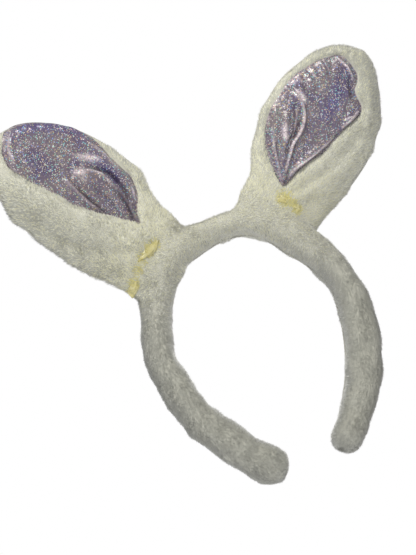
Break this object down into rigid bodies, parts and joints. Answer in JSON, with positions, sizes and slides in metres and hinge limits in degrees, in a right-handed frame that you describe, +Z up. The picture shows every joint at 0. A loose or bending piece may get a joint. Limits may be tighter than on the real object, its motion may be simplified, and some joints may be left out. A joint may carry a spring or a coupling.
{
  "type": "animal ears headband",
  "caption": "Padded plush headband with a springy hoop and bendable rabbit ears with glittery lavender inner panels.",
  "frame": {"origin": "middle of the crown's inner face, where the hoop rests on the head", "axes": "+Z up as worn, towards the ears; the front of the ears faces -Y; +X to the viewer's right from the front. Left and right in the names are as seen from the front."},
  "size_m": [0.2493, 0.0772, 0.2388],
  "materials": {
    "plush": "short white plush pile, matt",
    "lavender": "crinkled lavender cloth printed with holographic glitter",
    "foam": "soft foam strip",
    "stuffing": "white polyester fibre",
    "core_plastic": "satin moulded plastic",
    "wire": "bright soft steel wire",
    "tape": "cloth tape",
    "thread": "cotton sewing thread",
    "glue": "yellowed hot glue"
  },
  "bodies": {
    "crown": {"crown_sleeve": "plush", "crown_padding": "foam", "crown_core": "core_plastic", "crown_seam": "thread", "left_ear_root": "plush", "left_ear_wire_foot": "wire", "left_wire_tape": "tape", "right_ear_root": "plush", "right_ear_wire_foot": "wire", "right_wire_tape": "tape", "right_glue_blob": "glue", "right_glue_drop": "glue", "left_glue_line": "glue", "left_glue_drop": "glue"},
    "left_leg": {"left_leg_sleeve": "plush", "left_leg_padding": "foam", "left_leg_core": "core_plastic", "left_leg_seam": "thread"},
    "right_leg": {"right_leg_sleeve": "plush", "right_leg_padding": "foam", "right_leg_core": "core_plastic", "right_leg_seam": "thread"},
    "left_ear": {"left_front_rim_lower": "plush", "left_back_panel_lower": "plush", "left_inner_ear_lower": "lavender", "left_stuffing_lower": "stuffing", "left_ear_wire_inner": "wire", "left_ear_wire_outer": "wire", "left_edge_seam_inner": "thread", "left_edge_seam_outer": "thread", "left_panel_stitching_lower": "thread"},
    "left_ear_tip": {"left_front_rim_upper": "plush", "left_back_panel_upper": "plush", "left_inner_ear_upper": "lavender", "left_stuffing_upper": "stuffing", "left_ear_wire_arch": "wire", "left_edge_seam_arch": "thread", "left_panel_stitching_upper": "thread"},
    "right_ear": {"right_front_rim_lower": "plush", "right_back_panel_lower": "plush", "right_inner_ear_lower": "lavender", "right_stuffing_lower": "stuffing", "right_ear_wire_inner": "wire", "right_ear_wire_outer": "wire", "right_edge_seam_inner": "thread", "right_edge_seam_outer": "thread", "right_panel_stitching_lower": "thread"},
    "right_ear_tip": {"right_front_rim_upper": "plush", "right_back_panel_upper": "plush", "right_inner_ear_upper": "lavender", "right_stuffing_upper": "stuffing", "right_ear_wire_arch": "wire", "right_edge_seam_arch": "thread", "right_panel_stitching_upper": "thread"}
  },
  "joints": [
    {"name": "left_leg_flex", "type": "hinge", "parent": "crown", "child": "left_leg", "pos_m": [-0.06029, 0, -0.04415], "axis": [0, 1, 0], "range_deg": [-4, 22], "stiffness_Nm_per_rad": 0.8},
    {"name": "right_leg_flex", "type": "hinge", "parent": "crown", "child": "right_leg", "pos_m": [0.06029, 0, -0.04415], "axis": [0, -1, 0], "range_deg": [-4, 22], "stiffness_Nm_per_rad": 0.8},
    {"name": "left_ear_tilt", "type": "hinge", "parent": "crown", "child": "left_ear", "pos_m": [-0.04915, -0.00953, 0.01069], "axis": [0.6697, 0.0931, 0.7368], "range_deg": [-35, 30]},
    {"name": "left_ear_bend", "type": "hinge", "parent": "left_ear", "child": "left_ear_tip", "pos_m": [-0.08002, -0.03178, 0.04156], "axis": [0.6697, 0.0931, 0.7368], "range_deg": [-30, 60]},
    {"name": "right_ear_tilt", "type": "hinge", "parent": "crown", "child": "right_ear", "pos_m": [0.05005, -0.00718, 0.01124], "axis": [0.74, 0.3214, -0.5908], "range_deg": [-35, 30]},
    {"name": "right_ear_bend", "type": "hinge", "parent": "right_ear", "child": "right_ear_tip", "pos_m": [0.083, -0.02394, 0.0434], "axis": [0.74, 0.3214, -0.5908], "range_deg": [-30, 60]}
  ]
}
